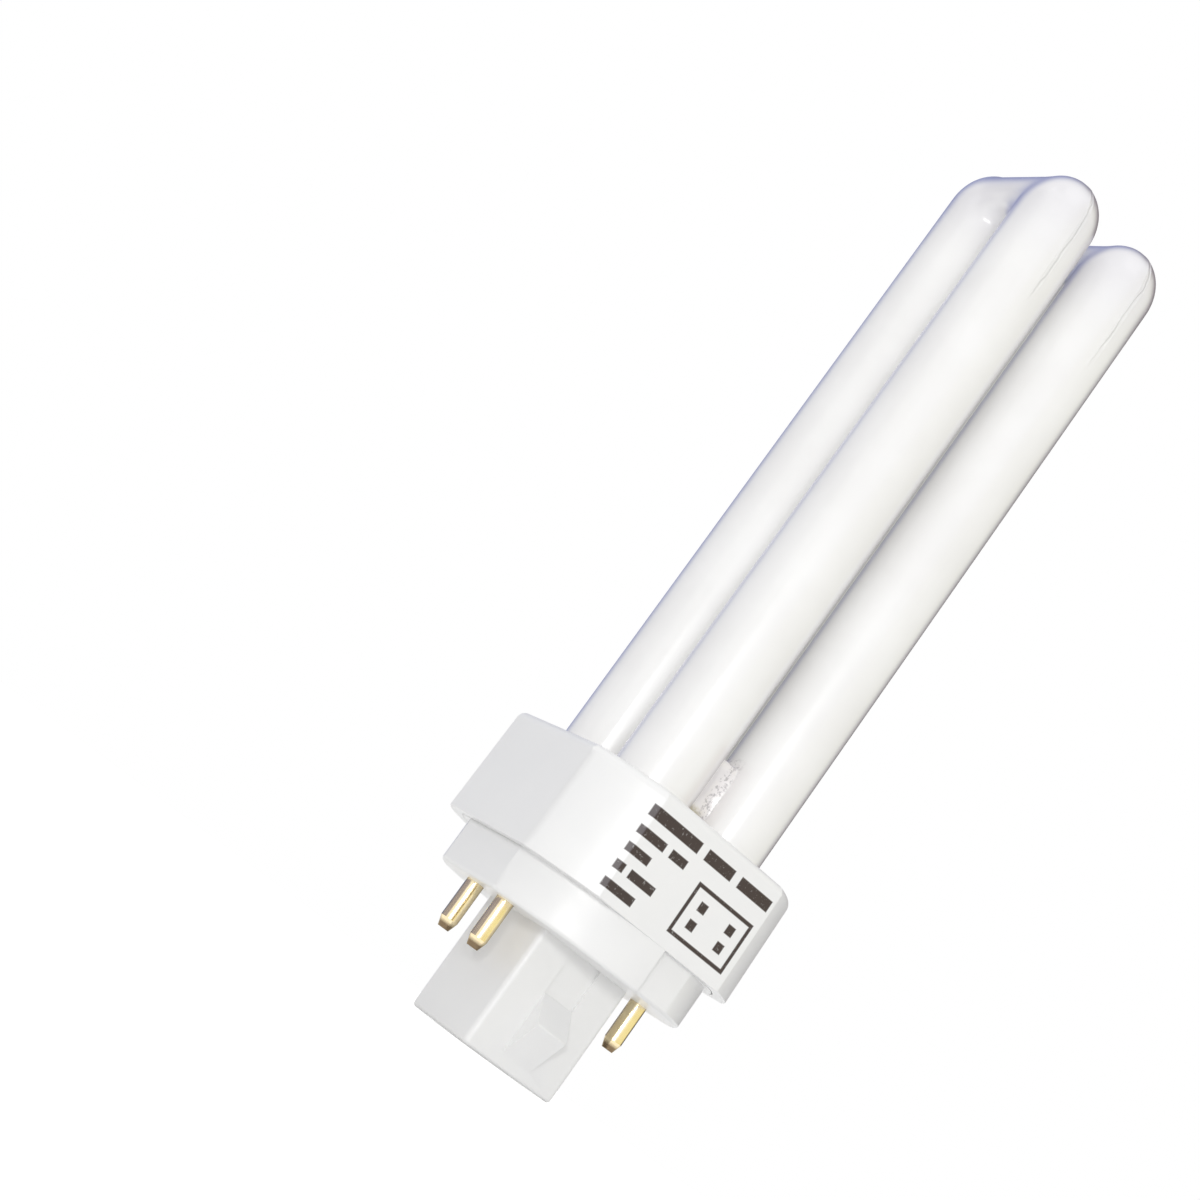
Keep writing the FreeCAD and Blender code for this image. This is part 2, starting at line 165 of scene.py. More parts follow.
class SharedEffects:
    """Effects that more than one finish uses, each built once as a node group."""

    def __init__(self) -> None:
        """Builds the groups."""
        self.mottle = self._mottle()
        self.grain = self._grain()
        self.marks = self._marks()
        self.level = self._level()

    def _mottle(self) -> Tree:
        """Slow clouds that shift a colour a little, as on moulded plastic or a sprayed coat.

        Returns:
            The node group.
        """
        graph, given = effect_group(
            "soft_mottle", {"Scale": 100.0, "Amount": 0.1, "Colour": WHITE, "Other Colour": WHITE},
            {"Colour": COLOUR})
        noise = graph.noise(given["Place"], given["Scale"], detail=3.0, roughness=0.55)
        cloud = graph.ramp(noise, low=0.35, high=0.68)
        share = graph.product(cloud, given["Amount"])
        graph.add("NodeGroupOutput", values={
            "Colour": graph.blend(share, given["Colour"], given["Other Colour"])})
        return graph.tree

    def _grain(self) -> Tree:
        """A fine relief and the change of gloss that goes with it.

        Returns:
            The node group.
        """
        graph, given = effect_group(
            "fine_grain", {"Scale": 3000.0, "Roughness": 0.3, "Spread": 0.05},
            {"Height": FLOAT, "Roughness": FLOAT})
        fine = graph.noise(given["Place"], given["Scale"], detail=4.0, roughness=0.6)
        coarse = graph.noise(given["Place"], graph.product(given["Scale"], 0.07), detail=2.0)
        change = graph.product(graph.maths("SUBTRACT", coarse, 0.5), given["Spread"])
        graph.add("NodeGroupOutput", values={
            "Height": fine, "Roughness": graph.maths("ADD", change, given["Roughness"])})
        return graph.tree

    def _marks(self) -> Tree:
        """Long thin marks that run one way, from drawing a wire or wiping a surface.

        Returns:
            The node group.
        """
        graph, given = effect_group(
            "drawn_marks", {"Scale": 900.0, "Stretch": 0.03, "Low": 0.5, "High": 0.7},
            {"Mask": FLOAT, "Height": FLOAT})
        squeeze = graph.add("ShaderNodeCombineXYZ", values={"X": 1.0, "Y": 1.0, "Z": given["Stretch"]})
        along = graph.add("ShaderNodeVectorMath", {"operation": "MULTIPLY"},
                          {0: given["Place"], 1: squeeze.outputs[0]})
        noise = graph.noise(along.outputs[0], given["Scale"], detail=5.0, roughness=0.65)
        mask = graph.add("ShaderNodeMapRange", values={
            "Value": noise, "From Min": given["Low"], "From Max": given["High"]})
        graph.add("NodeGroupOutput", values={"Mask": mask.outputs[0], "Height": noise})
        return graph.tree

    def _level(self) -> Tree:
        """A soft band between two heights on the lamp.

        Returns:
            The node group.
        """
        graph, given = effect_group(
            "level_band", {"Bottom": 0.0, "Top": 0.01, "Softness": 0.0005}, {"Mask": FLOAT})
        height = graph.axes(given["Place"])[2]
        above = graph.maths("SUBTRACT", height, given["Bottom"])
        below = graph.maths("SUBTRACT", given["Top"], height)
        graph.add("NodeGroupOutput", values={"Mask": graph.inside(above, below, given["Softness"])})
        return graph.tree


class FinishSheet(Graph):
    """The node tree of one material: an object coordinate, a shader and shared effects."""

    def __init__(self, name: str, effects: SharedEffects) -> None:
        """Starts an empty material.

        Args:
            name: the material's name.
            effects: the shared effect groups.
        """
        self.material = bpy.data.materials.new(name)
        self.material.use_nodes = True
        super().__init__(self.material.node_tree)
        self.effects = effects
        self.place = self.add("ShaderNodeTexCoord").outputs["Object"]

    @cached_property
    def split(self) -> Axes:
        """The X, Y and Z of the object coordinate."""
        return self.axes(self.place)

    def shader(self, values: dict) -> None:
        """Adds the Principled shader with its inputs, and joins it to the output."""
        principled = self.add("ShaderNodeBsdfPrincipled", values=values)
        self.add("ShaderNodeOutputMaterial", values={"Surface": principled.outputs[0]})

    def effect(self, group: Tree, values: dict) -> Node:
        """Places a shared effect with its own values besides the place."""
        return self.add("ShaderNodeGroup", {"node_tree": group}, {"Place": self.place, **values})

    def mottle(self, scale: float, amount: float, colour: Colour, other: Colour) -> Socket:
        """A colour that clouds over into another one."""
        return self.effect(self.effects.mottle, {
            "Scale": scale, "Amount": amount, "Colour": colour, "Other Colour": other}).outputs["Colour"]

    def relief(self, height: Socket, depth_mm: float, strength: float) -> Socket:
        """Turns a height into a normal, where a height of 1 is so many millimetres deep."""
        return self.add("ShaderNodeBump", values={
            "Strength": strength, "Distance": depth_mm * MM, "Height": height}).outputs[0]


# Finishes


class Finish(ABC):
    """A recipe for one material."""

    name: str

    @abstractmethod
    def fill(self, sheet: FinishSheet) -> None:
        """Fills the material's empty sheet."""

    def dress(self, effects: SharedEffects, *pieces: Piece) -> None:
        """Builds the material and gives it to pieces.

        Args:
            effects: the shared effect groups.
            pieces: the pieces that wear it.
        """
        sheet = FinishSheet(self.name, effects)
        self.fill(sheet)
        for piece in pieces:
            piece.data.materials.clear()
            piece.data.materials.append(sheet.material)
            log.info("%s wears %s", piece.name, self.name)


@dataclass(frozen=True)
class PrintedBar:
    """One plain bar or block of the print on the collar, as a rectangle on its front."""

    centre_x: float
    centre_z: float
    width: float
    height: float


@dataclass(frozen=True)
class MouldedWhite(Finish):
    """White moulded plastic with a satin gloss, and the print where a piece has one."""

    name: str = "moulded_white"
    colour: Colour = (0.89, 0.89, 0.885, 1.0)
    cloud: Colour = (0.85, 0.85, 0.855, 1.0)
    gloss_roughness: float = 0.34
    print_colour: Colour = (0.045, 0.03, 0.032, 1.0)
    print_softness: float = 0.12
    print_least: float = 0.72
    bars: tuple[PrintedBar, ...] = ()
    front_y: float = -14.0

    def fill(self, sheet: FinishSheet) -> None:
        """Clouds the plastic, prints it and gives it a fine grain.

        Args:
            sheet: the material's sheet.
        """
        base = sheet.mottle(scale=90.0, amount=0.35, colour=self.colour, other=self.cloud)
        grain = sheet.effect(sheet.effects.grain, {"Scale": 5200.0, "Roughness": self.gloss_roughness,
                                                   "Spread": 0.16})
        if self.bars:
            base = sheet.blend(self._print_mask(sheet), base, self.print_colour)
        sheet.shader({"Base Color": base, "Roughness": grain.outputs["Roughness"],
                      "Specular IOR Level": 0.45,
                      "Normal": sheet.relief(grain.outputs["Height"], depth_mm=0.012, strength=0.35)})

    def _print_mask(self, sheet: FinishSheet) -> Socket:
        """Joins all bars into one mask on the piece's front.

        Args:
            sheet: the material's sheet.

        Returns:
            The mask, 1 where the print is.
        """
        bar_group = self._bar_group()
        masks = [sheet.effect(bar_group, {
            "Centre X": bar.centre_x * MM, "Centre Z": bar.centre_z * MM,
            "Half Width": bar.width / 2 * MM, "Half Height": bar.height / 2 * MM,
            "Softness": self.print_softness * MM}).outputs["Mask"] for bar in self.bars]
        total = reduce(lambda first, second: sheet.maths("MAXIMUM", first, second), masks)
        on_front = sheet.maths("LESS_THAN", sheet.split[1], self.front_y * MM)
        worn = sheet.noise(sheet.place, scale=2600.0, detail=3.0)
        inked = sheet.ramp(worn, low=0.2, high=0.42, start=self.print_least)
        return sheet.product(total, on_front, inked)

    @staticmethod
    def _bar_group() -> Tree:
        """One rectangle with soft edges, placed by its centre.

        Returns:
            The node group.
        """
        graph, given = effect_group(
            "printed_bar", {"Centre X": 0.0, "Centre Z": 0.0, "Half Width": 0.001, "Half Height": 0.001,
                            "Softness": 0.0001}, {"Mask": FLOAT})
        x, _, z = graph.axes(given["Place"])
        room = []
        for value, centre, half in ((x, "Centre X", "Half Width"), (z, "Centre Z", "Half Height")):
            away = graph.maths("ABSOLUTE", graph.maths("SUBTRACT", value, given[centre]))
            room.append(graph.maths("SUBTRACT", given[half], away))
        graph.add("NodeGroupOutput", values={"Mask": graph.inside(*room, given["Softness"])})
        return graph.tree


@dataclass(frozen=True)
class Band:
    """A soft band across the lamp: its middle, its half width and how far its edge fades."""

    centre: float
    half: float
    softness: float

    def mask(self, sheet: FinishSheet, value: Socket) -> Socket:
        """The mask of the band along one axis."""
        away = sheet.maths("ABSOLUTE", sheet.maths("SUBTRACT", value, self.centre * MM))
        return sheet.ramp(away, self.half * MM, (self.half + self.softness) * MM, 1.0, 0.0)


@dataclass(frozen=True)
class CoatedGlass(Finish):
    """Clear glass over a white powder coat: smooth and glossy outside, uneven beneath."""

    leg_offset: float
    dome_centre: float
    passage_centre: float
    name: str = "coated_glass"
    colour: Colour = (0.87, 0.867, 0.86, 1.0)
    thin_coat: Colour = (0.78, 0.77, 0.76, 1.0)
    streak_share: float = 0.16
    # Painted shade: the domes are greyed, more towards their tops.
    dome_painted_shade: Colour = (0.74, 0.73, 0.76, 1.0)
    dome_shade_share: float = 0.8
    dome_fade: tuple[float, float] = (-10.0, 5.0)
    # Painted shade on the rims, partly standing for the glass's darker rim: bluish on one side of each leg,
    # warm grey on the other.
    cool_rim_shade: Colour = (0.26, 0.28, 0.52, 1.0)
    warm_rim_shade: Colour = (0.26, 0.22, 0.24, 1.0)
    rim_share: float = 0.92
    leg_rim: float = 0.85
    dome_rim_wider: float = 0.1
    rim_axis: tuple[float, float] = (0.84, -0.54)
    rim_fade: float = 3.0
    thin_root: Colour = (0.72, 0.67, 0.67, 1.0)
    root_share: float = 0.45
    root_half: float = 4.6
    root_softness: float = 1.6
    root_band: Band = Band(-1.6, 2.4, 2.0)
    front_fade: tuple[float, float] = (-4.0, -3.0)
    bare: Colour = (0.36, 0.34, 0.35, 1.0)
    fleck_share: float = 0.7
    fleck_band: Band = Band(0.8, 0.45, 0.4)
    stain: Colour = (0.42, 0.37, 0.20, 1.0)
    stain_share: float = 0.65
    stain_band: Band = Band(-1.3, 1.0, 1.6)
    stain_level: float = 38.6
    stain_fade: float = 1.0
    stain_wobble: float = 1.6
    # A painted glow: the coat gives off a little light of its own colour, which lifts its shade.
    painted_glow: float = 0.06
    seam_edge: tuple[float, float] = (0.042, 0.252)
    seam_side: tuple[float, float] = (0.5, 1.5)
    seam_run: float = 13.0
    seam_fade: float = 5.0
    seam_wobble: float = 1.4
    seam_height: float = 4.0

    def fill(self, sheet: FinishSheet) -> None:
        """Lays the coat, the painted shade on the domes, the worked root and the painted rim shade over
        each other, with a faint painted glow.

        Args:
            sheet: the material's sheet.
        """
        clouded = sheet.mottle(scale=60.0, amount=0.4, colour=self.colour, other=self.thin_coat)
        streaks = sheet.effect(sheet.effects.marks, {"Scale": 330.0, "Stretch": 0.05, "Low": 0.52,
                                                     "High": 0.8})
        streaked = sheet.blend(sheet.product(streaks.outputs["Mask"], self.streak_share), clouded,
                               self.thin_coat)
        # The domes get painted shade, greyer towards their tops.
        start, end = self.dome_fade
        high = sheet.ramp(sheet.split[2], (self.dome_centre + start) * MM, (self.dome_centre + end) * MM)
        dome_shaded = sheet.blend(sheet.product(high, self.dome_shade_share), streaked, self.dome_painted_shade)
        coated = self._root(sheet, dome_shaded)
        grain = sheet.effect(sheet.effects.grain, {"Scale": 1400.0, "Roughness": 0.3, "Spread": 0.1})
        height = sheet.maths("MULTIPLY_ADD", self._seam(sheet), self.seam_height,
                             sheet.noise(sheet.place, scale=110.0, detail=1.0))
        # The coat's emission is a painted glow that lifts its shade.
        sheet.shader({"Base Color": self._paint_rim_shade(sheet, high, coated),
                      "Roughness": grain.outputs["Roughness"],
                      "Specular IOR Level": 0.3, "Coat Weight": 0.7, "Coat Roughness": 0.16,
                      "Coat IOR": 1.5, "Emission Color": coated, "Emission Strength": self.painted_glow,
                      "Normal": sheet.relief(height, depth_mm=0.12, strength=0.35)})

    def _root(self, sheet: FinishSheet, coated: Socket) -> Socket:
        """The worked glass of the low passage: thinner coat, flecks at one end, a stain at its foot.

        Args:
            sheet: the material's sheet.
            coated: the colour of the coat.

        Returns:
            The colour with these marks.
        """
        x, y, z = sheet.split
        root = sheet.effect(sheet.effects.level, {
            "Bottom": (self.passage_centre - self.root_half) * MM,
            "Top": (self.passage_centre + self.root_half) * MM,
            "Softness": self.root_softness * MM}).outputs["Mask"]
        full, gone = self.front_fade
        front = sheet.ramp(y, full * MM, gone * MM, 1.0, 0.0)
        on_root = sheet.product(root, self.root_band.mask(sheet, x), front, self.root_share)
        thinned = sheet.blend(on_root, coated, self.thin_root)
        cloud = sheet.noise(sheet.place, scale=2100.0, detail=4.0, roughness=0.7)
        chipped = sheet.ramp(cloud, low=0.49, high=0.6)
        spotted = sheet.product(chipped, root, self.fleck_band.mask(sheet, x), front, self.fleck_share)
        marked = sheet.blend(spotted, thinned, self.bare)
        uneven = sheet.maths("MULTIPLY_ADD", cloud, self.stain_wobble * MM, z)
        bottom, top = self.stain_level * MM, (self.stain_level + self.stain_fade) * MM
        low = sheet.ramp(uneven, bottom, top, 1.0, 0.0)
        stained = sheet.product(low, self.stain_band.mask(sheet, x), front, self.stain_share)
        return sheet.blend(stained, marked, self.stain)

    def _paint_rim_shade(self, sheet: FinishSheet, high: Socket, coated: Socket) -> Socket:
        """Paints shade on the rims, bluish on one side of each leg and warm grey on the other, and most on
        the domes; this is partly the glass's darker rim and partly painted shade.

        Args:
            sheet: the material's sheet.
            high: a mask of the domes.
            coated: the colour of the coat.

        Returns:
            The colour with its painted rim shade.
        """
        facing = sheet.add("ShaderNodeLayerWeight").outputs["Facing"]
        widened = sheet.maths("MULTIPLY_ADD", high, self.dome_rim_wider, facing)
        edge = sheet.ramp(widened, low=0.53, high=1.0, end=self.rim_share)
        share = sheet.product(edge, sheet.maths("MULTIPLY_ADD", high, 1.0 - self.leg_rim, self.leg_rim))
        parts = []
        for value, share_of_axis in zip(sheet.split, self.rim_axis):
            capped = sheet.maths("MINIMUM", sheet.product(value, 2.0), self.leg_offset * MM)
            centre = sheet.maths("MAXIMUM", capped, -self.leg_offset * MM)
            parts.append(sheet.product(sheet.maths("SUBTRACT", value, centre), share_of_axis))
        lateral = sheet.maths("ADD", *parts)
        shade_side = sheet.ramp(lateral, -self.rim_fade * MM, self.rim_fade * MM)
        return sheet.blend(share, coated, sheet.blend(shade_side, self.cool_rim_shade, self.warm_rim_shade))

    def _seam(self, sheet: FinishSheet) -> Socket:
        """The slightly crooked mould seam down the outer side of each bend.

        Args:
            sheet: the material's sheet.

        Returns:
            The seam's height, from 0 to 1.
        """
        x, y, z = sheet.split
        wobble = sheet.maths("SUBTRACT", sheet.noise(sheet.place, scale=230.0, detail=2.0), 0.5)
        shift = sheet.product(wobble, self.seam_wobble * MM)
        across = sheet.maths("SUBTRACT", sheet.maths("ABSOLUTE", x), self.leg_offset * MM)
        away = sheet.maths("ABSOLUTE", sheet.maths("ADD", across, shift))
        full, gone = self.seam_edge
        line = sheet.ramp(away, full * MM, gone * MM, 1.0, 0.0)
        outside = sheet.maths("SUBTRACT", sheet.maths("ABSOLUTE", y), self.leg_offset * MM)
        near, far = self.seam_side
        on_outside = sheet.ramp(outside, near * MM, far * MM)
        low = self.dome_centre - self.seam_run
        return sheet.product(line, on_outside, sheet.ramp(z, low * MM, (low + self.seam_fade) * MM))


@dataclass(frozen=True)
class PinBrass(Finish):
    """Drawn brass, duller on the tapered tip, which painted shade turns dark brown; painted shade darkens
    its rims too.
    """

    name: str = "pin_brass"
    colour: Colour = (0.90, 0.78, 0.52, 1.0)
    # Painted shade: the tapered tip is darkened to a dark brown.
    tip_painted_shade: Colour = (0.13, 0.08, 0.045, 1.0)
    tarnish: Colour = (0.72, 0.56, 0.31, 1.0)
    # Painted shade: the brass turns dark brown towards its rims.
    edge_painted_shade: Colour = (0.24, 0.17, 0.05, 1.0)
    edge_shade_share: float = 0.9
    tip_shade_share: float = 0.9
    tip_bottom: float = 9.0
    tip_top: float = 10.15
    tip_softness: float = 0.5
    drawn_height: float = 0.03
    roughness: float = 0.13
    tip_duller: float = 0.16
    marks_duller: float = 0.07

    def fill(self, sheet: FinishSheet) -> None:
        """Tarnishes the brass, darkens its tip and edges brown with painted shade, and draws fine marks
        along it.

        Args:
            sheet: the material's sheet.
        """
        clouded = sheet.mottle(scale=420.0, amount=0.35, colour=self.colour, other=self.tarnish)
        tip = sheet.effect(sheet.effects.level, {
            "Bottom": self.tip_bottom * MM, "Top": self.tip_top * MM,
            "Softness": self.tip_softness * MM}).outputs["Mask"]
        facing = sheet.add("ShaderNodeLayerWeight")
        # Painted shade darkens the tip.
        tip_shaded = sheet.blend(sheet.product(tip, self.tip_shade_share), clouded, self.tip_painted_shade)
        # Painted shade on the rims, where the pin turns away.
        edge = sheet.ramp(facing.outputs["Facing"], low=0.35, high=0.9, end=self.edge_shade_share)
        marks = sheet.effect(sheet.effects.marks, {"Scale": 5200.0, "Stretch": 0.04, "Low": 0.45,
                                                   "High": 0.75})
        lumpy = sheet.product(sheet.noise(sheet.place, scale=1500.0, detail=3.0), tip)
        drawn = sheet.product(marks.outputs["Height"], self.drawn_height)
        dull = sheet.maths("MULTIPLY_ADD", tip, self.tip_duller, self.roughness)
        sheet.shader({"Base Color": sheet.blend(edge, tip_shaded, self.edge_painted_shade), "Metallic": 1.0,
                      "Roughness": sheet.maths("MULTIPLY_ADD", marks.outputs["Mask"],
                                               self.marks_duller, dull),
                      "Normal": sheet.relief(sheet.maths("ADD", drawn, lumpy), depth_mm=0.12,
                                             strength=0.6)})


@dataclass(frozen=True)
class SocketCement(Finish):
    """Matt grey cement with coarse grains."""

    name: str = "socket_cement"
    colour: Colour = (0.50, 0.47, 0.41, 1.0)
    grains: Colour = (0.68, 0.65, 0.60, 1.0)

    def fill(self, sheet: FinishSheet) -> None:
        """Mixes pale grains into the grey.

        Args:
            sheet: the material's sheet.
        """
        grain = sheet.effect(sheet.effects.grain, {"Scale": 4200.0, "Roughness": 0.86, "Spread": 0.1})
        base = sheet.mottle(scale=1500.0, amount=0.8, colour=self.colour, other=self.grains)
        sheet.shader({"Base Color": base, "Roughness": grain.outputs["Roughness"],
                      "Normal": sheet.relief(grain.outputs["Height"], depth_mm=0.08, strength=0.8)})


@dataclass(frozen=True)
class PlatedWire(Finish):
    """Drawn wire with a dull plated skin."""

    name: str = "plated_wire"
    colour: Colour = (0.52, 0.51, 0.48, 1.0)
    dark: Colour = (0.34, 0.32, 0.29, 1.0)
    roughness: float = 0.3
    marks_duller: float = 0.12

    def fill(self, sheet: FinishSheet) -> None:
        """Dulls the metal in clouds and draws marks along it.

        Args:
            sheet: the material's sheet.
        """
        marks = sheet.effect(sheet.effects.marks, {"Scale": 6000.0, "Stretch": 0.05, "Low": 0.4,
                                                   "High": 0.7})
        base = sheet.mottle(scale=700.0, amount=0.5, colour=self.colour, other=self.dark)
        dull = sheet.maths("MULTIPLY_ADD", marks.outputs["Mask"], self.marks_duller, self.roughness)
        sheet.shader({"Base Color": base, "Metallic": 1.0, "Roughness": dull,
                      "Normal": sheet.relief(marks.outputs["Height"], depth_mm=0.02, strength=0.5)})


@dataclass(frozen=True)
class BraidedSleeve(Finish):
    """Pale braided glass fibre."""

    name: str = "braided_sleeve"
    colour: Colour = (0.70, 0.67, 0.60, 1.0)
    gap_colour: Colour = (0.42, 0.39, 0.33, 1.0)
    thread: float = 0.35

    def fill(self, sheet: FinishSheet) -> None:
        """Lays slanting threads with darker gaps between them.

        Args:
            sheet: the material's sheet.
        """
        braid = sheet.add("ShaderNodeTexWave", {"wave_type": "BANDS", "bands_direction": "DIAGONAL"},
                          {"Vector": sheet.place, "Scale": 1.0 / (self.thread * MM), "Distortion": 2.0})
        threads = braid.outputs["Fac"]
        grain = sheet.effect(sheet.effects.grain, {"Scale": 6000.0, "Roughness": 0.8, "Spread": 0.1})
        sheet.shader({"Base Color": sheet.blend(threads, self.gap_colour, self.colour),
                      "Roughness": grain.outputs["Roughness"],
                      "Normal": sheet.relief(threads, depth_mm=0.05, strength=0.7)})


# Modelling by hand


class Kind(Enum):
    """What is picked on a mesh."""

    FACES = "FACE"
    POINTS = "VERT"


def leave_edit() -> None:
    """Leaves edit mode."""
    bpy.ops.object.mode_set(mode="OBJECT")


def edit_all() -> None:
    """Opens the held piece for editing, with all of it selected."""
    bpy.ops.object.mode_set(mode="EDIT")
    bpy.ops.mesh.select_all(action="SELECT")


def hold(*pieces: Piece) -> None:
    """Selects these pieces and nothing else, and makes the first one active.

    Args:
        pieces: any number of pieces, or none.
    """
    bpy.ops.object.select_all(action="DESELECT")
    for piece in reversed(pieces):
        piece.select_set(True)
        bpy.context.view_layer.objects.active = piece


def pick(piece: Piece, kind: Kind, rule: Callable[[Vector], bool]) -> None:
    """Selects faces by their centre or points by their place, and stays in edit mode.

    Args:
        piece: the held piece.
        kind: what to pick.
        rule: takes a place in millimetres and says whether what lies there is wanted.
    """
    bpy.ops.object.mode_set(mode="EDIT")
    bpy.ops.mesh.select_mode(type=kind.value)
    bpy.ops.mesh.select_all(action="DESELECT")
    leave_edit()
    found = 0
    for item in piece.data.polygons if kind is Kind.FACES else piece.data.vertices:
        item.select = rule((item.center if kind is Kind.FACES else item.co) / MM)
        found += item.select
    bpy.ops.object.mode_set(mode="EDIT")
    log.info("%s: %d %s picked", piece.name, found, kind.name.lower())


def pick_open_edges() -> None:
    """Selects the open edges of the mesh in edit mode."""
    bpy.ops.mesh.select_mode(type="EDGE")
    bpy.ops.mesh.select_all(action="DESELECT")
    bpy.ops.mesh.select_non_manifold(extend=False, use_wire=False, use_multi_face=False,
                                     use_non_contiguous=False, use_verts=False)


def modify(piece: Piece, kind: str, settings: dict) -> None:
    """Finishes the held piece with one applied modifier.

    Args:
        piece: the held piece.
        kind: the modifier's type name.
        settings: its properties, by name.
    """
    modifier = piece.modifiers.new(kind.lower(), kind)
    for name, value in settings.items():
        setattr(modifier, name, value)
    bpy.ops.object.modifier_apply(modifier=modifier.name)


@dataclass(frozen=True)
class Ring:
    """One ring of a leg's cage: its height and its half widths."""

    z: float
    half_x: float
    half_y: float


class Foot(Enum):
    """How a leg ends inside the collar."""

    PLAIN = "plain"
    PINCH = "pinch"
    EXHAUST = "exhaust"


@dataclass
class GlassEnvelope:
    """The sealed glass as one smooth skin: four legs, two top bends and the low passage."""

    low: Vector
    high: Vector
    collar_top: float
    leg_radius: float = 5.35
    dome_height: float = 6.313
    columns: int = 16
    cage_swell: float = 1.0 / 0.9746
    foot_length: float = 4.2
    neck_share: float = 0.74
    tip_length: float = 3.6
    tip_radius: float = 2.0
    tip_end: float = 0.45
    tip_edge: float = 0.9
    tip_rise: float = 0.5
    pinch_half: tuple[float, float] = (3.811, 1.339)
    pinch_end: tuple[float, float] = (0.96, 0.9)
    pinch_edge: float = 0.3
    pinch_rise: float = 0.6
    pinch_root: tuple[float, float] = (0.8, 0.5)
    above_foot: tuple[float, ...] = (1.6, 4.0)
    passage_shares: tuple[float, ...] = (-1.06, -0.5, 0.0, 0.5, 1.06)
    above_passage: float = 6.0
    below_dome: tuple[float, ...] = (12.0, 1.1, 0.0)
    dome_steps: int = 4
    bend_drop: float = 7.9
    bend_top_angle: float = 60.0
    bend_half: float = 0.97
    # How near to a leg's axis its window starts, below and above the dome's centre.
    bend_window: tuple[float, float] = (0.24, 0.12)
    bend_bulge: float = 0.4
    passage_rise: float = 4.9
    passage_half_height: float = 3.8
    passage_half_depth: float = 2.6
    passage_setback: float = 1.3
    passage_window: float = 0.7
    passage_bulge: float = 0.6
    cage_level: int = 2
    skin_level: int = 1
    bridge_cuts: int = 2
    easing_factor: float = 0.5
    easing_steps: int = 2
    crotch_half_y: float = 3.4
    crotch_half_z: float = 3.2
    crotch_steps: int = 12
    seam_run: float = 13.0
    seam_proud: float = 0.14
    seam_reach: float = 0.08
    seam_clear: float = 0.6
    name: str = "glass_envelope"
    # The piece that the steps of build work on.
    glass: Piece = field(init=False)
    feet: dict[tuple[int, int], Foot] = field(default_factory=lambda: {
        (-1, -1): Foot.PLAIN, (1, -1): Foot.EXHAUST, (1, 1): Foot.PINCH, (-1, 1): Foot.PINCH})

    @property
    def leg_offset(self) -> float:
        """How far a leg's axis lies from the lamp's axis, along X and along Y."""
        return self.high.x - self.leg_radius

    @property
    def cage_radius(self) -> float:
        """The radius of the cage's rings, which the subdivision draws in to the leg's radius."""
        return self.leg_radius * self.cage_swell

    @property
    def dome_centre(self) -> float:
        """The height of the centre of each dome."""
        return self.high.z - self.dome_height

    @property
    def foot_level(self) -> float:
        """The height at which the round part of a leg ends."""
        return self.low.z + self.foot_length

    @property
    def passage_centre(self) -> float:
        """The height of the low passage's axis."""
        return self.collar_top + self.passage_rise

    def build(self) -> Piece:
        """Models the whole envelope.

        Returns:
            The finished piece.
        """
        legs = [self._leg(side, foot) for side, foot in self.feet.items()]
        hold(*legs)
        bpy.ops.object.join()
        self.glass = legs[0]
        self.glass.name = self.glass.data.name = self.name
        self._join_low_passage()
        for side_x in (-1, 1):
            self._join_top_bend(side_x)
        bpy.ops.object.transform_apply()
        self._smooth()
        self._raise_seams()
        self._fit_to_box()
        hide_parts("discharge_tube")
        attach(self.glass, "root")
        return self.glass

    def _foot_rings(self, foot: Foot) -> list[Ring]:
        """The rings below the round part of a leg, from the lowest up.

        Args:
            foot: how this leg ends.

        Returns:
            The rings.
        """
        level, full = self.foot_level, self.cage_radius
        neck = Ring(level, full * self.neck_share, full * self.neck_share)
        if foot is Foot.PINCH:
            wide, thin = self.pinch_half
            return [Ring(self.low.z, wide * self.pinch_end[0], thin * self.pinch_end[1]),
                    Ring(self.low.z + self.pinch_edge, wide, thin),
                    Ring(level - self.pinch_rise, wide, thin),
                    Ring(level, full * self.pinch_root[0], full * self.pinch_root[1])]
        if foot is Foot.EXHAUST:
            radius = self.tip_radius * self.cage_swell
            bottom = level - self.tip_length
            return [Ring(bottom, radius * self.tip_end, radius * self.tip_end),
                    Ring(bottom + self.tip_edge, radius, radius),
                    Ring(level - self.tip_rise, radius, radius), neck]
        return [neck]

    def _rings(self, foot: Foot) -> list[Ring]:
        """All rings of one leg, from the foot to the ring below the apex.

        Args:
            foot: how this leg ends.

        Returns:
            The rings.
        """
        full = self.cage_radius
        rings = self._foot_rings(foot)
        centre, half = self.passage_centre, self.passage_half_height
        heights = [self.foot_level + rise for rise in self.above_foot]
        heights += [centre + half * share for share in self.passage_shares]
        heights += [centre + half + self.above_passage, (centre + self.dome_centre) / 2]
        heights += [self.high.z - self.bend_drop, *(self.dome_centre - drop for drop in self.below_dome)]
        rings += [Ring(z, full, full) for z in sorted(heights)]
        for step in range(1, self.dome_steps):
            angle = math.pi / 2 / self.dome_steps * step
            around = full * math.cos(angle)
            rings.append(Ring(self.dome_centre + self.dome_height * math.sin(angle), around, around))
        return rings

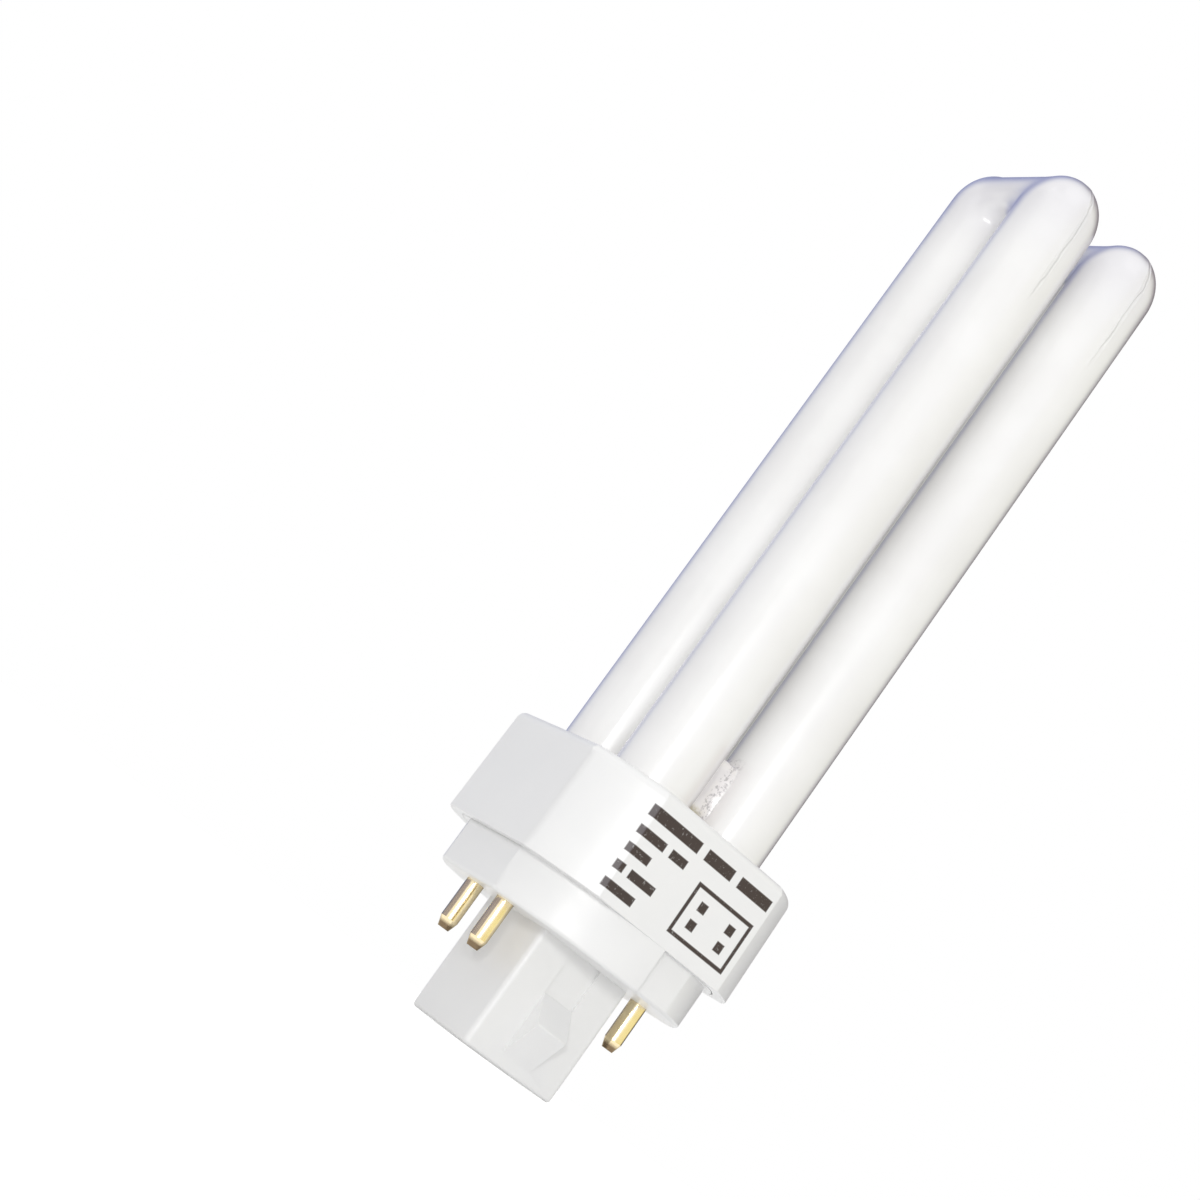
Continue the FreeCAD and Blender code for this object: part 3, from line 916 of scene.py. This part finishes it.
    def _leg(self, side: tuple[int, int], foot: Foot) -> Piece:
        """Draws one leg up from a circle, ring by ring.

        Args:
            side: the leg's side in X and in Y.
            foot: how this leg ends.

        Returns:
            The leg's cage.
        """
        x, y = side[0] * self.leg_offset, side[1] * self.leg_offset
        rings = self._rings(foot)
        first = rings[0]
        axis = (x * MM, y * MM, first.z * MM)
        hold()
        bpy.ops.mesh.primitive_circle_add(vertices=self.columns, radius=first.half_x * MM, location=axis)
        leg = bpy.context.object
        bpy.ops.object.transform_apply()
        edit_all()
        bpy.ops.transform.resize(value=(1.0, first.half_y / first.half_x, 1.0), center_override=axis)
        for below, above in zip(rings, rings[1:]):
            bpy.ops.mesh.extrude_region_move(
                TRANSFORM_OT_translate={"value": (0.0, 0.0, (above.z - below.z) * MM)})
            bpy.ops.transform.resize(value=(above.half_x / below.half_x, above.half_y / below.half_y, 1.0),
                                     center_override=(x * MM, y * MM, above.z * MM))
        bpy.ops.mesh.extrude_region_move(
            TRANSFORM_OT_translate={"value": (0.0, 0.0, (self.high.z - rings[-1].z) * MM)})
        bpy.ops.mesh.merge(type="CENTER")
        pick_open_edges()
        bpy.ops.mesh.edge_face_add()
        bpy.ops.mesh.select_all(action="SELECT")
        bpy.ops.mesh.normals_make_consistent(inside=False)
        leave_edit()
        return leg

    def _open_and_bridge(self, rule: Callable[[Vector], bool], smoothness: float) -> None:
        """Opens two facing windows and bridges them.

        Args:
            rule: says which face centres belong to the windows.
            smoothness: how much the bridge bulges between its ends.
        """
        pick(self.glass, Kind.FACES, rule)
        bpy.ops.mesh.delete(type="FACE")
        pick_open_edges()
        bpy.ops.mesh.bridge_edge_loops(number_cuts=self.bridge_cuts, interpolation="PATH",
                                       smoothness=smoothness)
        leave_edit()

    def _join_low_passage(self) -> None:
        """Joins the two front legs just above the collar."""
        offset, centre = self.leg_offset, self.passage_centre
        middle_y, inner = self.passage_setback - offset, offset - self.leg_radius * self.passage_window

        def window(place: Vector) -> bool:
            """True for the faces that look at the other front leg."""
            level = abs(place.z - centre) < self.passage_half_height
            return level and abs(place.x) < inner and abs(place.y - middle_y) < self.passage_half_depth

        self._open_and_bridge(window, self.passage_bulge)

    def _join_top_bend(self, side_x: int) -> None:
        """Joins the tops of the two legs on one side.

        Args:
            side_x: the side in X.
        """
        offset, half = self.leg_offset, self.leg_radius * self.bend_half
        bottom = self.high.z - self.bend_drop
        top = self.dome_centre + self.dome_height * math.sin(math.radians(self.bend_top_angle))

        def window(place: Vector) -> bool:
            """True for the faces that look at the other leg of the pair."""
            inner = offset - self.leg_radius * self.bend_window[place.z >= self.dome_centre]
            return bottom < place.z < top and abs(place.y) < inner and abs(place.x - side_x * offset) < half

        self._open_and_bridge(window, self.bend_bulge)

    def _smooth(self) -> None:
        """Subdivides the cage, draws it onto the solid's surface and shades it smooth."""
        modify(self.glass, "SUBSURF", {"levels": self.cage_level})
        modify(self.glass, "SHRINKWRAP", {"wrap_method": "NEAREST_SURFACEPOINT",
                                          "target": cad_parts["discharge_tube"]})
        modify(self.glass, "SMOOTH", {"factor": self.easing_factor, "iterations": self.easing_steps})
        self._ease_crotches()
        modify(self.glass, "SUBSURF", {"levels": self.skin_level})
        bpy.ops.object.shade_smooth()

    def _ease_crotches(self) -> None:
        """Rounds the inner corners under the top bends, where the cage is drawn in most."""
        middle = self.high.z - self.bend_drop

        def in_crotch(place: Vector) -> bool:
            """True between the two legs of a pair, just under their bend."""
            return abs(place.y) < self.crotch_half_y and abs(place.z - middle) < self.crotch_half_z

        pick(self.glass, Kind.POINTS, in_crotch)
        bpy.ops.mesh.vertices_smooth(factor=self.easing_factor, repeat=self.crotch_steps)
        leave_edit()

    def _raise_seams(self) -> None:
        """Lifts the fine mould seam on the outer side of each bend."""
        offset, start = self.leg_offset, self.dome_centre - self.seam_run

        def on_seam(place: Vector) -> bool:
            """True on the middle line of a leg's outer side."""
            in_line = abs(abs(place.x) - offset) < self.seam_reach
            return in_line and abs(place.y) > offset + self.seam_clear and place.z > start

        pick(self.glass, Kind.POINTS, on_seam)
        bpy.ops.transform.shrink_fatten(value=-self.seam_proud * MM)
        leave_edit()

    def _fit_to_box(self) -> None:
        """Scales the envelope by a hair so that it fills its solid's box and stays in it."""
        places = [vertex.co / MM for vertex in self.glass.data.vertices]
        low = Vector(min(place[axis] for place in places) for axis in range(3))
        high = Vector(max(place[axis] for place in places) for axis in range(3))
        share = [(self.high[axis] - self.low[axis]) / (high[axis] - low[axis]) for axis in range(3)]
        edit_all()
        bpy.ops.transform.resize(value=share, center_override=(0.0, 0.0, low.z * MM))
        bpy.ops.transform.translate(value=(0.0, 0.0, (self.low.z - low.z) * MM))
        leave_edit()


@dataclass
class MouldedCasing:
    """A casing copied from its solid, welded and softened along its edges."""

    node: str
    name: str
    edge_round: float = 0.22
    edge_angle: float = 32.0
    segments: int = 2
    weld_distance: float = 0.002
    flat_weight: int = 100

    def build(self) -> Piece:
        """Makes the softened copy that stands for the solid.

        Returns:
            The finished piece.
        """
        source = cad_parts[self.node]
        piece = bpy.data.objects.new(self.name, source.data.copy())
        bpy.context.scene.collection.objects.link(piece)
        piece.data.name = self.name
        hold(piece)
        edit_all()
        bpy.ops.mesh.remove_doubles(threshold=self.weld_distance * MM)
        leave_edit()
        angle = math.radians(self.edge_angle)
        modify(piece, "BEVEL", {
            "width": self.edge_round * MM, "segments": self.segments, "limit_method": "ANGLE",
            "angle_limit": angle, "use_clamp_overlap": True})
        bpy.ops.object.shade_smooth_by_angle(angle=angle)
        modify(piece, "WEIGHTED_NORMAL", {"weight": self.flat_weight, "keep_sharp": True})
        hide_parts(self.node)
        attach(piece, "root")
        return piece


@dataclass
class CapAssembly:
    """Collar, cap and what they hold: pins, cement, wires and sleeves."""

    # Each line: its height on the collar, how tall it is, and where each bar starts and ends.
    print_lines: tuple[tuple[float, float, tuple[tuple[float, float], ...]], ...] = (
        (33.55, 1.5, ((-11.2, -2.9), (-1.7, 3.1), (4.3, 9.9))),
        (30.95, 1.15, ((-11.2, -6.9), (-5.9, -3.2))),
        (28.55, 1.15, ((-11.2, -7.6),)),
        (26.15, 1.15, ((-11.2, -9.9), (-9.0, -4.8))),
        (23.75, 1.15, ((-11.2, -6.3),)))
    plan: PrintedBar = PrintedBar(4.6, 27.2, 9.4, 6.4)
    plan_line: float = 0.5
    dots: PrintedBar = PrintedBar(2.5, 1.2, 1.25, 1.25)

    def bars(self) -> tuple[PrintedBar, ...]:
        """The plain print on the collar: lines of bars and a small plan of the four pins.

        Returns:
            The bars.
        """
        found = [PrintedBar((left + right) / 2, z, right - left, height)
                 for z, height, spans in self.print_lines for left, right in spans]
        plan, dots, line = self.plan, self.dots, self.plan_line
        x, z = plan.centre_x, plan.centre_z
        for side in (-1, 1):
            found.append(PrintedBar(x, z + side * plan.height / 2, plan.width + line, line))
            found.append(PrintedBar(x + side * plan.width / 2, z, line, plan.height + line))
            for end in (-1, 1):
                found.append(PrintedBar(x + side * dots.centre_x, z + end * dots.centre_z,
                                        dots.width, dots.height))
        return tuple(found)

    def build(self, effects: SharedEffects) -> None:
        """Builds and dresses every piece of the cap.

        Args:
            effects: the shared effect groups.
        """
        printed = MouldedWhite(name="moulded_white_printed", bars=self.bars())
        printed.dress(effects, MouldedCasing("collar", "collar_shell").build())
        MouldedWhite().dress(effects, MouldedCasing("base_cap", "cap_shell").build())
        finishes = {"contact_pin": PinBrass(), "cement_ring": SocketCement(), "lead_wire": PlatedWire(),
                    "wire_sleeve": BraidedSleeve()}
        for start, finish in finishes.items():
            names = sorted(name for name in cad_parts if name.startswith(start))
            finish.dress(effects, *[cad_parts[name] for name in names])


# Studio


@dataclass
class Softbox:
    """One large soft lamp that looks at the lamp."""

    name: str
    place: Place
    size: float
    watts: float
    colour: tuple[float, float, float] = (1.0, 1.0, 1.0)

    def build(self, target: Vector) -> None:
        """Sets the softbox up.

        Args:
            target: the point that it looks at.
        """
        data = bpy.data.lights.new(self.name, "AREA")
        data.shape = "SQUARE"
        data.size = self.size
        data.energy = self.watts
        data.color = self.colour
        lamp = bpy.data.objects.new(self.name, data)
        bpy.context.scene.collection.objects.link(lamp)
        lamp.location = self.place
        lamp.rotation_euler = (target - Vector(self.place)).to_track_quat("-Z", "Y").to_euler()


@dataclass
class Studio:
    """Pale floor, white backdrop, soft lamps and the camera."""

    eye: Place = (-0.14977, -0.23199, 0.00198)
    forward: Place = (0.47043, 0.86329, 0.18283)
    upward: Place = (-0.59023, 0.15381, 0.79245)
    lens: float = 67.775
    target: Place = (0.0, 0.0, 0.06)
    floor_size: float = 6.0
    floor_colour: Colour = (0.88, 0.88, 0.88, 1.0)
    floor_drop: float = 0.0001
    floor_lift: float = 0.57
    sky_light: float = 0.69
    behind: Colour = (1.15, 1.15, 1.17, 1.0)
    beside_left: Colour = (0.36, 0.34, 0.46, 1.0)
    beside_right: Colour = (1.0, 0.95, 0.6, 1.0)
    beyond_left: Colour = (0.26, 0.30, 0.52, 1.0)
    beyond_right: Colour = (0.13, 0.11, 0.12, 1.0)
    softboxes: tuple[Softbox, ...] = (
        Softbox("key_softbox", (-0.50, -0.56, 0.10), 0.07, 0.8, (1.0, 0.995, 0.985)),
        Softbox("camera_softbox", (-0.27, -0.47, 0.055), 0.10, 0.4),
        Softbox("top_softbox", (-0.15, -0.3, 0.8), 0.5, 0.6),
        Softbox("dome_softbox", (-0.39, 0.046, 0.55), 0.04, 0.03),
    )

    def build(self) -> None:
        """Sets up the whole studio."""
        for softbox in self.softboxes:
            softbox.build(Vector(self.target))
        self._floor()
        self._world()
        self._camera()
        bpy.context.scene.view_settings.view_transform = "Standard"

    def _floor(self) -> None:
        """Lays the pale floor, which looks white to the camera and keeps the lamp's shadow."""
        hold()
        bpy.ops.mesh.primitive_plane_add(size=self.floor_size, location=(0.0, 0.0, -self.floor_drop))
        floor = bpy.context.object
        floor.name = "floor"
        material = bpy.data.materials.new("floor_white")
        material.use_nodes = True
        graph = Graph(material.node_tree)
        shown = graph.maths("MAXIMUM", *self._rays(graph))
        matt = graph.add("ShaderNodeBsdfPrincipled", values={
            "Base Color": self.floor_colour, "Roughness": 0.9, "Specular IOR Level": 0.1,
            "Emission Color": WHITE, "Emission Strength": graph.product(shown, self.floor_lift)})
        graph.add("ShaderNodeOutputMaterial", values={"Surface": matt.outputs[0]})
        floor.data.materials.append(material)

    @staticmethod
    def _rays(graph: Graph) -> tuple[Socket, Socket]:
        """Tells apart what is seen straight and what is seen in gloss or through glass.

        Args:
            graph: the tree to fill.

        Returns:
            The two masks.
        """
        path = graph.add("ShaderNodeLightPath").outputs
        return (path["Is Camera Ray"],
                graph.maths("MAXIMUM", path["Is Glossy Ray"], path["Is Transmission Ray"]))

    def _world(self) -> None:
        """Makes the backdrop white to the eye, and the light from all round plain and soft."""
        world = bpy.data.worlds.new("studio")
        bpy.context.scene.world = world
        world.use_nodes = True
        graph = Graph(world.node_tree)
        seen, mirrored = self._rays(graph)
        direction = graph.add("ShaderNodeTexCoord").outputs["Generated"]
        forward = Vector(self.forward)
        ahead = self._along(graph, direction, forward)
        aside = self._along(graph, direction, forward.cross(Vector((0.0, 0.0, 1.0))).normalized())
        leftward = graph.blend(graph.ramp(aside, low=-0.84, high=-0.74), self.beside_left, self.behind)
        near = graph.blend(graph.ramp(aside, low=0.3, high=0.6), leftward, self.beside_right)
        far = graph.blend(graph.ramp(aside, low=-0.35, high=0.35), self.beyond_left, self.beyond_right)
        mirrored_colour = graph.blend(graph.ramp(ahead, low=0.3, high=0.75), near, far)
        lit = graph.blend(mirrored, (*[self.sky_light] * 3, 1.0), mirrored_colour)
        colour = graph.blend(seen, lit, WHITE)
        background = graph.add("ShaderNodeBackground", values={"Color": colour})
        graph.add("ShaderNodeOutputWorld", values={"Surface": background.outputs[0]})

    @staticmethod
    def _along(graph: Graph, direction: Socket, axis: Vector) -> Socket:
        """How far a direction runs along an axis, from -1 to 1."""
        node = graph.add("ShaderNodeVectorMath", {"operation": "DOT_PRODUCT"}, {0: direction, 1: axis})
        return node.outputs["Value"]

    def _camera(self) -> None:
        """Puts the camera where the photo was taken from."""
        data = bpy.data.cameras.new("photo_camera")
        data.lens = self.lens
        data.clip_start = 0.01
        data.clip_end = 20.0
        camera = bpy.data.objects.new("photo_camera", data)
        bpy.context.scene.collection.objects.link(camera)
        back = -Vector(self.forward).normalized()
        right = Vector(self.upward).cross(back).normalized()
        above = back.cross(right)
        turn = Matrix((right, above, back)).transposed()
        camera.matrix_world = Matrix.Translation(Vector(self.eye)) @ turn.to_4x4()
        bpy.context.scene.camera = camera


def main() -> None:
    """Builds the lamp's looks and the studio."""
    logging.basicConfig(level=logging.INFO, format="%(name)s: %(message)s")
    effects = SharedEffects()
    tube_low, tube_high = node_box("discharge_tube")
    envelope = GlassEnvelope(tube_low, tube_high, node_box("collar")[1].z)
    glass = CoatedGlass(envelope.leg_offset, envelope.dome_centre, envelope.passage_centre)
    glass.dress(effects, envelope.build())
    CapAssembly().build(effects)
    Studio().build()


if __name__ == "__main__":
    main()
